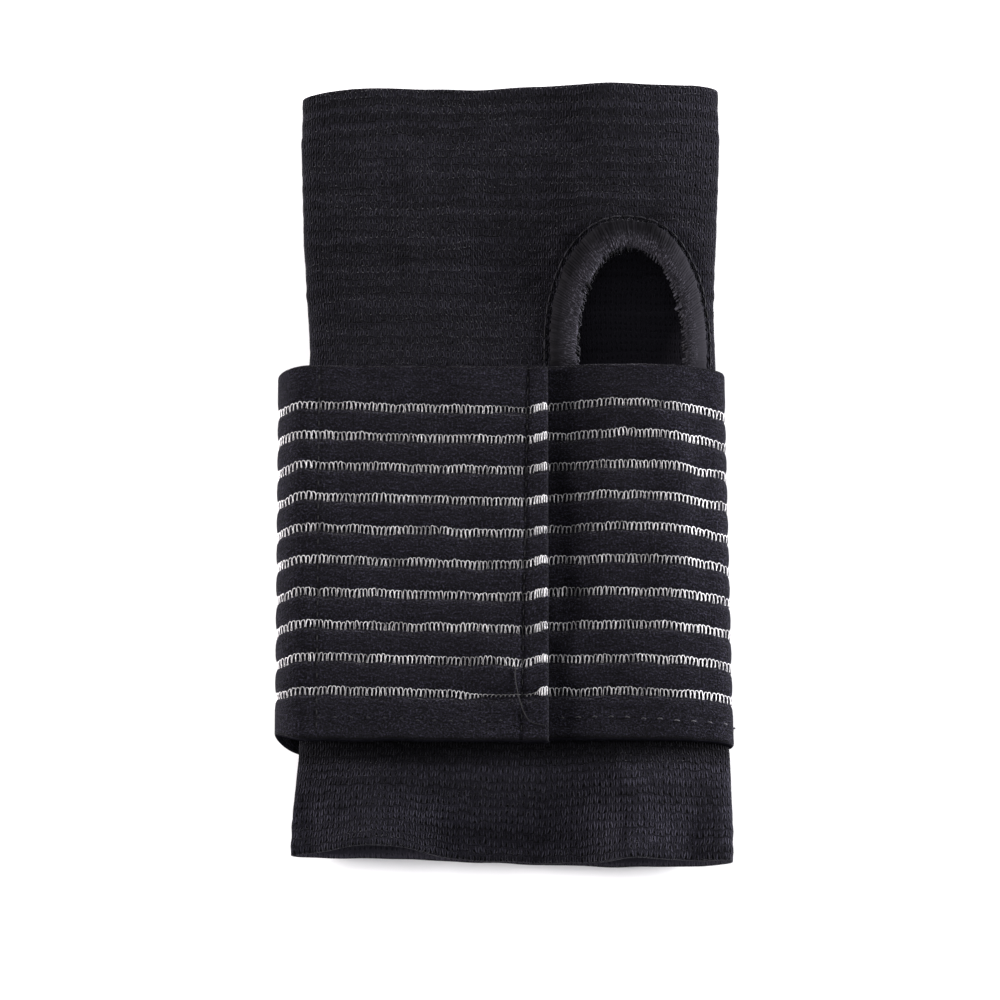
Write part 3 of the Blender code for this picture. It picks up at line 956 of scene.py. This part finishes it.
def strap_path():
    """The elastic's middle line in XZ, evenly spaced: lengths, points and outward directions."""
    turn_x = FRONT_HIGH[0]
    low = STRAP / 2
    right = ((turn_x, (FRONT_MID + low) / 2), (HALF_SPAN - turn_x, (FRONT_MID - low) / 2))
    left = ((LEFT_X, (FLAP_MID + low) / 2), (LEFT_RADIUS, LEFT_RADIUS))
    parts = [
        straight(FRONT_LOW[0], turn_x, FRONT_MID),
        arc(*right, math.pi / 2, -math.pi / 2),
        straight(turn_x, LEFT_X, low),
        arc(*left, math.pi * 1.5, math.pi / 2),
        straight(LEFT_X, LIP_HIGH[0], FLAP_MID),
    ]
    line = np.concatenate([parts[0]] + [part[1:] for part in parts[1:]])
    length = lengths_along(*line.T)
    even = np.linspace(0, length[-1], PATH_POINTS)
    line = np.stack([np.interp(even, length, line[:, i]) for i in (0, 1)], -1)
    along = unit(np.gradient(line, even, axis=0))
    return even, line, np.stack([-along[:, 1], along[:, 0]], -1)


PATH_S, PATH_LINE, PATH_OUT = strap_path()
TOTAL = PATH_S[-1]


def length_at(x, z):
    """Length along the strap of the path's point nearest to (x, z)."""
    gap = np.hypot(PATH_LINE[:, 0] - x, PATH_LINE[:, 1] - z)
    return float(PATH_S[np.argmin(gap)])


S_TURN = length_at(FRONT_HIGH[0], FRONT_MID)
S_LOWER = length_at(LOWER_HINGE[0], LOWER_HINGE[2])
S_UPPER = length_at(UPPER_HINGE[0], UPPER_HINGE[2])
S_MIDDLE = (S_LOWER + S_UPPER) / 2
S_LIP = length_at(LIP_HINGE[0], FLAP_MID)
S_TAPE_ROW = length_at(TAPE_LOW[0] + 1.1 * MM, FLAP_MID)

stripe_ripple = Ripple(21, (13 * MM, 30 * MM), 10)
strap_ripple = Ripple(22, (24 * MM, 30 * MM), 9)
edge_ripple = Ripple(23, (9 * MM, 60 * MM), 9)
tone_ripple = Ripple(31, (17 * MM, 9 * MM), 8)


def cross_shift(s, v):
    """How far the cloth strays along Y from straight, at length s and v from the lower edge."""
    share = v / STRAP_WIDTH
    middle = np.clip(np.minimum(v, STRAP_WIDTH - v) / (9 * MM), 0, 1)
    helix = 0.55 * MM - 1.1 * MM * s / TOTAL
    waver = 0.10 * MM * stripe_ripple(s, v) * middle + 0.05 * MM * edge_ripple(s, v)
    on_flap = np.clip((s - S_UPPER) / (38 * MM), 0, 1)
    flap = rise(s, S_UPPER, 3 * MM) * (0.6 * MM - 1.0 * MM * on_flap)
    hem = 0.9 * MM * rise(s, S_LIP, 4.5 * MM)
    ease = bump(s, S_MIDDLE, 9 * MM)
    corner = 2.1 * MM * smooth(1 - v / (12 * MM))
    corner = corner - 0.5 * MM * smooth(1 - (STRAP_WIDTH - v) / (10 * MM))
    climb = 0.75 * MM * bump(s, S_TURN - 6 * MM, 22 * MM) * share
    sink = -0.5 * MM * bump(s, S_TURN + 16 * MM, 17 * MM)
    return helix + waver + (flap + hem + climb + sink) * middle + ease * corner


def strap_lift(s, v):
    """How far the middle surface stands off the plain path, outwards."""
    x = np.interp(s, PATH_S, PATH_LINE[:, 0])
    on_front = fall(s, S_TURN + 10 * MM, 6 * MM)
    on_flap = rise(s, S_UPPER, 4 * MM)
    ridge = thumb_ridge(x, STRAP_Y + v) * on_front
    clear = rise(x, 9 * MM, 3 * MM) * on_front  # where the flap doesn't cover the front
    wave = 0.10 * MM * strap_ripple(s, v) * np.maximum(clear, on_flap)
    return ridge + wave


def side_shift(x, v):
    """How far the strap's right turn leans in towards its upper edge."""
    return -1.1 * MM * v / STRAP_WIDTH * rise(x, 22 * MM, 20 * MM)


def strap_point(s, v, lift):
    """Points on the strap at length s, v from its lower edge, lift outwards from its middle."""
    s, v, lift = np.broadcast_arrays(*(np.asarray(value, float) for value in (s, v, lift)))
    x = np.interp(s, PATH_S, PATH_LINE[:, 0])
    z = np.interp(s, PATH_S, PATH_LINE[:, 1])
    out = strap_out(s)
    total = strap_lift(s, v) + lift
    y = STRAP_Y + v + cross_shift(s, v)
    return np.stack([x + out[..., 0] * total + side_shift(x, v), y, z + out[..., 2] * total], -1)


def strap_out(s):
    """The outward direction at length s."""
    out_x = np.interp(s, PATH_S, PATH_OUT[:, 0])
    out_z = np.interp(s, PATH_S, PATH_OUT[:, 1])
    size = np.hypot(out_x, out_z)
    return np.stack([out_x / size, np.zeros_like(out_x), out_z / size], -1)


def stripe_v(i):
    """Distance of stripe i from the strap's lower edge."""
    return FIRST_STRIPE + i * STRIPE_PITCH - i**2 * STRIPE_CLOSER


def stripe_number(v):
    """The inverse of stripe_v, for any v."""
    root = np.sqrt(STRIPE_PITCH**2 - 4 * STRIPE_CLOSER * (v - FIRST_STRIPE))
    return (STRIPE_PITCH - root) / (2 * STRIPE_CLOSER)


def band_profile(v):
    """The elastic's outer face: each band bulges and each stripe lies in a groove."""
    number = stripe_number(v)
    away = np.abs(number - np.clip(np.round(number), 0, STRIPES - 1))
    groove = 1 - rise(away, 0.09, 0.14)
    crown = rise(away, 0.1, 0.35)
    edge = np.clip(np.minimum(v, STRAP_WIDTH - v) / (0.7 * MM), 0, 1)
    selvedge = 1 - np.sqrt(1 - (1 - edge) ** 2)
    return -0.24 * MM * groove + 0.16 * MM * crown - 0.45 * MM * selvedge


def cross_stations():
    """Where across the strap the mesh has points, closer together at the stripes and edges."""
    edge = np.array([0, 0.08, 0.22, 0.42, 0.7, 1.6, 2.8, 4.0, 5.2, 6.4]) * MM
    beside = np.array([-1.45, -1.1, -0.8, -0.4, 0, 0.4, 0.8, 1.1, 1.45]) * MM
    between = np.array([0.34, 0.5, 0.66]) * STRIPE_PITCH
    stations = [*edge, *(STRAP_WIDTH - edge)]
    for i in range(STRIPES):
        stations += [*(stripe_v(i) + beside), *(stripe_v(i) + between)]
    stations = np.unique(np.round(stations, 6))
    return stations[np.append(True, np.diff(stations) > 0.06 * MM)]


CROSS = cross_stations()

# The lengths round each hinge, with its two bodies, and where the strap is cut into its stretches
TURN_BEND, LIP_BEND = 2.6 * MM, 0.9 * MM  # how far to each side of a hinge the cloth bends
TURN_REACH, LIP_REACH = 4.2 * MM, 2.0 * MM  # how far beyond it a bending stretch goes on
LOWER_BLEND = ("brace", "left_turn", S_LOWER - TURN_BEND, S_LOWER + TURN_BEND)
UPPER_BLEND = ("left_turn", "flap", S_UPPER - TURN_BEND, S_UPPER + TURN_BEND)
LIP_BLEND = ("flap", "lip", S_LIP - LIP_BEND, S_LIP + LIP_BEND)
CUT_LOWER = S_LOWER - TURN_REACH
CUT_UPPER = S_UPPER + TURN_REACH
CUT_LIP = S_LIP - LIP_REACH


def fit(piece, way, slot, *nodes):
    """How a piece moves and the CAD nodes that it stands for; slot, its material slot, is not used.

    way is a body's name, which the piece is attached to, or (body, body, start, stop), for which
    the piece is only baked where it stands.
    """
    if isinstance(way, str):
        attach(piece, way)
    else:
        first, second, start, stop = way
        ends = strap_point(np.array([start, stop]), STRAP_WIDTH / 2, 0)
        start, end = [(float(p[0]), 0.0, float(p[2])) for p in ends]
        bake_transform(piece)
    if nodes:
        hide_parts(*nodes)


def on_table(s):
    """1 where the strap lies on its back, 0 elsewhere."""
    return rise(s, S_TURN + 11 * MM, 5 * MM) * fall(s, S_LOWER - 1 * MM, 5 * MM)


def strap_slab(name, s, v, outer, inner, material):
    """A closed sheet between two heights over the strap's middle surface."""
    outer, inner = strap_point(s, v, outer), strap_point(s, v, inner)
    return slab(name, outer, inner, np.stack([s, v], -1) / MM, material)


# ---- the light woven stripes

# One loop of the thread: (share of the pitch, share of half the stripe's height, lift in mm)
LOOP = np.array(
    [
        (0.12, -0.97, -0.10), (0.05, -0.60, -0.03), (0.06, 0.15, 0.03), (0.15, 0.76, 0.02),
        (0.36, 0.97, 0.00), (0.64, 0.97, 0.00), (0.85, 0.76, 0.02), (0.94, 0.15, 0.03),
        (0.92, -0.60, -0.01), (0.82, -0.97, -0.08),
    ]
)


def end_round(s):
    """How thick the strap's end still is, as a share: it rounds off over the last millimetre."""
    near = np.clip((TOTAL - s) / MM, 0, 1)
    return np.sqrt(1 - (1 - near) ** 2)


def hem_valley(s, v):
    """How far the hem's stitch line is pulled in."""
    return 0.26 * MM * bump(s, hem_line(v), 1.0 * MM)


def stripe_wear(i, s):
    """Where a stripe has worn thin beside the hem: 0 where it is whole, 1 where it is faintest."""
    if i == 0:
        return rise(s, TOTAL - 17 * MM, 5 * MM) * fall(s, TOTAL - 1.5 * MM, 0.8 * MM)
    if i == STRIPES - 1:
        return 0.5 * bump(s, TOTAL - 6.5 * MM, 5 * MM)
    return 0 * s


def stripe_path(i, start, stop, pitch, lighter):
    """One stripe's thread, looping up and down across it from start to stop.

    lighter adds to its tone. Beside the seams it is pulled in and darker. At the turns, where the
    cloth is stretched open, it is thicker, and lighter with a painted highlight.
    """
    count = max(1, int(round((stop - start) / pitch)))
    pitch = (stop - start) / count
    shape = (count, len(LOOP))
    wide = LOOP[:, 0] + random.normal(0, 0.05, shape) + random.normal(0, 0.07, (count, 1))
    tall = LOOP[:, 1] * random.normal(1, 0.07, (count, 1)) + random.normal(0, 0.05, shape)
    tall += random.normal(0, 0.06, (count, 1))
    wide += random.normal(0, 0.06, (count, 1)) * LOOP[:, 1]
    s = (start + (np.arange(count)[:, None] + wide) * pitch).ravel()
    s = np.clip(s, start + 0.02 * MM, stop - 0.02 * MM)
    worn = stripe_wear(i, s)
    v = stripe_v(i) + tall.ravel() * STRIPE_HALF * (1 - 0.7 * worn)
    lift = STRAP / 2 - 0.11 * MM - 0.06 * MM * on_table(s) - hem_valley(s, v)
    lift = lift - (STRAP / 2 + 0.42 * MM) * (1 - end_round(s))
    lift = lift - worn * np.repeat(random.uniform(0.0, 0.13, count), len(LOOP)) * MM
    at_seam = bump(s, S_TAPE_ROW, 0.9 * MM) + bump(s, hem_line(v), 0.9 * MM)
    low = LOOP[:, 2] + random.uniform(-0.05, 0.05, (count, 1)) * (LOOP[:, 1] < -0.9)
    lift = lift + (low.ravel() + random.normal(0, 0.02, len(s)) - 0.05 * at_seam) * MM
    tone = 0.5 + 0.13 * tone_ripple(s, v * 3) + lighter + random.normal(0, 0.13, len(s))
    tone += np.repeat(random.normal(0, 0.16, count), len(LOOP)) + 0.12 * np.tile(LOOP[:, 1], count)
    # at_turn: painted highlight of the side lights on the turns, and the thread thicker there.
    at_turn = bump(s, S_MIDDLE, 13 * MM) + bump(s, S_TURN + 9 * MM, 9 * MM)
    tone += at_turn - 0.6 * worn - 0.5 * at_seam
    thicker = (1 - 0.3 * worn) * (1 + 0.2 * at_turn) * (1.25 if lighter > 0.3 else 1.0)
    radius = THREAD * random.normal(1, 0.15, len(s)) * thicker
    return strap_point(s, v, lift), strap_out(s), radius, np.clip(tone, 0.03, 2.1)


def make_stripes(name, paths, way):
    """The stripes of one stretch, as a piece of its own."""
    fit(tubes(name, paths, LIGHT_THREAD, sides=4), way, "stripe_thread")


# ---- the strap's pieces

WRAP_NODES = ("strap_front_length", "strap_right_turn", "strap_back_length")
STRETCHES = (
    ("strap_wrap", 0, CUT_LOWER, "brace", WRAP_NODES),
    ("strap_side_lower", CUT_LOWER, S_MIDDLE, LOWER_BLEND, ("strap_left_turn",)),
    ("strap_side_upper", S_MIDDLE, CUT_UPPER, UPPER_BLEND, ("strap_left_turn",)),
    ("strap_free_length", CUT_UPPER, CUT_LIP, "flap", ("strap_flap",)),
)


def make_strap():
    """The elastic from its sewn end to the fold at its free end, in four stretches."""
    for name, start, stop, way, nodes in STRETCHES:
        rows = int(round((stop - start) / (0.8 * MM))) + 2
        s, v = np.meshgrid(np.linspace(start, stop, rows), CROSS, indexing="ij")
        outer = STRAP / 2 + band_profile(v) - 0.2 * MM * on_table(s)
        inner = -STRAP / 2 + 0.04 * MM - 0.25 * band_profile(v)
        piece = strap_slab(name, s, v, outer, inner, STRAP_CLOTH)
        fit(piece, way, "strap_elastic", *nodes)
        paths = [stripe_path(i, start, stop, LOOP_PITCH, 0.0) for i in range(STRIPES)]
        make_stripes(name + "_stripes", paths, way)


def make_lip():
    """The strap's end, folded under and stitched: two layers with a rounded free edge."""
    nose = TOTAL - np.array([0.9, 0.6, 0.35, 0.15, 0.03]) * MM
    lengths = np.concatenate([np.linspace(CUT_LIP, nose[0], 12)[:-1], nose])
    s, v = np.meshgrid(lengths, CROSS, indexing="ij")
    doubled = rise(s, S_LIP - 0.2 * MM, 0.8 * MM)
    middle = -0.45 * MM * doubled
    half = STRAP / 2 + 0.42 * MM * doubled
    outer = middle + (half + band_profile(v)) * end_round(s) - hem_valley(s, v)
    inner = middle - (half - 0.05 * MM) * end_round(s)
    piece = strap_slab("strap_end_fold", s, v, outer, inner, STRAP_CLOTH)
    fit(piece, LIP_BLEND, "strap_elastic", "strap_end_lip")
    paths = []
    bold = TOTAL - 2.6 * MM  # from here the thread is doubled, dense and light
    for i in range(STRIPES):
        paths.append(stripe_path(i, CUT_LIP, bold, 0.76 * MM, 0.05))
        paths.append(stripe_path(i, bold, TOTAL - 0.3 * MM, 0.42 * MM, 0.5))
    make_stripes("strap_end_stripes", paths, LIP_BLEND)


def hem_line(v):
    """Length along the strap of the hem's stitch line, which slants across the strap."""
    return S_LIP + 0.7 * MM - 1.4 * MM * (1 - v / STRAP_WIDTH)


# ---- stitching


def stitch_row(name, node, line, stitches, material, way, tone=0.5, tone_gain=0.0):
    """A row of stitches whose ends go into the cloth, standing for a CAD node.

    line is two functions that give s and v from 0 to 1 along the row. stitches is their number,
    the share of the row that they cover, their height over the cloth and their radius. The tone
    grows along the row by tone_gain.
    """
    count, cover, gap, radius = stitches
    span = np.linspace(0, 1, 7)
    paths = []
    for i in range(count):
        share = (i + 0.5 - cover / 2 + cover * span) / count
        s, v = line[0](share), line[1](share)
        arch = np.sin(math.pi * span)
        lift = STRAP / 2 + band_profile(v) + gap + (0.22 * arch - 0.10) * MM
        shade = np.clip(tone + tone_gain * i / count + random.normal(0, 0.15), 0.05, 1.9)
        thick = radius * (0.55 + 0.45 * arch)
        paths.append((strap_point(s, v, lift), strap_out(s), thick, shade))
    fit(tubes(name, paths, material, sides=6), way, "thread", node)


def row_v(share):
    """Distance from the strap's lower edge, in a row that runs across it."""
    return 1.5 * MM + (STRAP_WIDTH - 3 * MM) * share


def cross_line(at):
    """A row straight across the strap at this length."""
    return lambda t: at + 0 * t, row_v


def edge_line(start, length):
    """A row along the strap's lower edge."""
    return lambda t: start + length * t, lambda t: 4.0 * MM + 0.25 * MM * np.sin(t * 7)


def make_stitching():
    plain = 0.16 * MM  # the usual radius
    for number, at in ((1, 1.3 * MM), (2, 4.9 * MM)):
        stitch_row(
            f"sewn_end_stitches_{number}",
            f"sewn_end_stitch_row_{number}",
            cross_line(at),
            (27, 0.8, 0.0, plain),
            DARK_THREAD,
            "brace",
        )
    stitch_row(
        "tape_stitches_inner",
        "hook_tape_stitch_row_inner",
        cross_line(S_TAPE_ROW),
        (30, 0.72, -0.10 * MM, 0.11 * MM),
        DARK_THREAD,
        "flap",
        tone=0.0,
    )
    stitch_row(
        "hem_stitches",
        "hook_tape_stitch_row_outer",
        (lambda t: hem_line(row_v(t)), row_v),
        (31, 0.74, -0.28 * MM, 0.09 * MM),
        DARK_THREAD,
        LIP_BLEND,
        tone=0.0,
    )
    # Painted shade and light: these stitches go from dark by the flap's edge to light towards the
    # right turn.
    stitch_row(
        "edge_stitches_front",
        "edge_stitch_row_front",
        edge_line(length_at(9.5 * MM, FRONT_MID), 37 * MM),
        (12, 0.3, 0.02 * MM, plain),
        GREY_THREAD,
        "brace",
        tone=-0.1,
        tone_gain=1.9,
    )
    stitch_row(
        "edge_stitches_flap",
        "edge_stitch_row_flap",
        edge_line(CUT_UPPER + 1 * MM, CUT_LIP - CUT_UPPER - 2 * MM),
        (12, 0.22, -0.05 * MM, plain),
        DARK_THREAD,
        "flap",
    )


# Where the loose end of the hem's thread lies: (s from the lip's hinge, v, lift), in mm
TAIL = np.array(
    [
        (-1.6, 15.0, 0.20), (-1.9, 13.8, 0.28), (-1.8, 12.5, 0.30), (-1.6, 11.0, 0.32),
        (-1.2, 9.0, 0.32), (-0.7, 7.0, 0.30), (0.0, 5.2, 0.28), (0.8, 3.9, 0.26),
        (2.3, 3.0, 0.24), (4.4, 2.7, 0.22),
    ]
)


def make_thread_tail():
    """The loose end of the hem's thread, lying in a curve on the strap."""
    share = np.linspace(0, len(TAIL) - 1, 60)
    window = np.ones(11) / 11
    eased = []
    for column in TAIL.T:
        line = np.interp(share, np.arange(len(TAIL)), column)
        eased.append(np.convolve(np.pad(line, 5, mode="edge"), window, "valid") * MM)
    s = S_LIP + eased[0]
    points = strap_point(s, eased[1], STRAP / 2 + eased[2])
    path = (points, strap_out(s), 0.08 * MM, 0.1)
    fit(tubes("hem_thread_tail", [path], GREY_THREAD, sides=7), LIP_BLEND, "thread")


# ---- the hook tape

TAPE_INSET = 1.2 * MM  # from the strap's edges
TAPE_THICK = 0.42 * MM
HOOK_PITCH = 1.15 * MM
# One hook's line: (across the strap, down from the tape), in mm
HOOK = np.array([(0, 0), (0.02, 0.24), (0.14, 0.36), (0.3, 0.30), (0.36, 0.2)])


def make_hook_tape():
    """A moulded strip under the free length, with rows of small hooks."""
    start, stop = length_at(TAPE_LOW[0], FLAP_MID), length_at(TAPE_HIGH[0], FLAP_MID)
    low, high = TAPE_INSET, STRAP_WIDTH - TAPE_INSET
    s, v = np.meshgrid(np.linspace(start, stop, 50), np.linspace(low, high, 90), indexing="ij")
    under = -STRAP / 2 - 0.02 * MM
    tape = strap_slab("hook_tape_strip", s, v, under, under - TAPE_THICK, TAPE_PLASTIC)
    fit(tape, "flap", "hook_tape", "hook_tape")
    hooks = []
    foot = under - TAPE_THICK + 0.02 * MM
    for row, at in enumerate(np.arange(start + 2.2 * MM, stop - 1 * MM, HOOK_PITCH)):
        for column, v0 in enumerate(np.arange(low + 1 * MM, high - 1 * MM, HOOK_PITCH)):
            side = MM if (row + column) % 2 else -MM
            v0 = v0 + 0.5 * MM * (row % 2)
            line = strap_point(at, v0 + side * HOOK[:, 0], foot - MM * HOOK[:, 1])
            up = np.tile([1.0, 0.0, 0.0], (len(line), 1))
            hooks.append((line, up, 0.085 * MM, 0.5))
    hooks = tubes("hook_tape_hooks", hooks, TAPE_PLASTIC, sides=4)
    fit(hooks, "flap", "hook_tape")


# ---- run it all

KNIT_CLOTH = knit_material("knit_cloth", (0.0063, 0.0060, 0.0086), 1.0)
KNIT_INSIDE = knit_material("knit_inside", (0.0185, 0.0174, 0.0226), 0.25)
STRAP_CLOTH = elastic_material()
SELVAGE = selvage_material()
LIGHT_THREAD = thread_material("light_thread", (0.25, 0.246, 0.252), 1.5)
DARK_THREAD = thread_material("dark_thread", (0.009, 0.0087, 0.011), 1.2, sheen=0.04)
BIND_THREAD = thread_material("binding_thread", (0.0125, 0.012, 0.0152), 1.5, 1.0, 0.06, 0.06)
BIND_CLOTH = binding_material()
GREY_THREAD = thread_material("grey_thread", (0.020, 0.0195, 0.0218), 1.4)
TAPE_PLASTIC = plastic_material()

set_camera()
set_lights()
make_floor()
grid = sleeve_grid()
sleeve = make_sleeve(grid)
make_binding(grid)
make_edge_loops(grid)
make_outline_stitches(grid)
make_strap()
make_lip()
make_stitching()
make_thread_tail()
make_hook_tape()
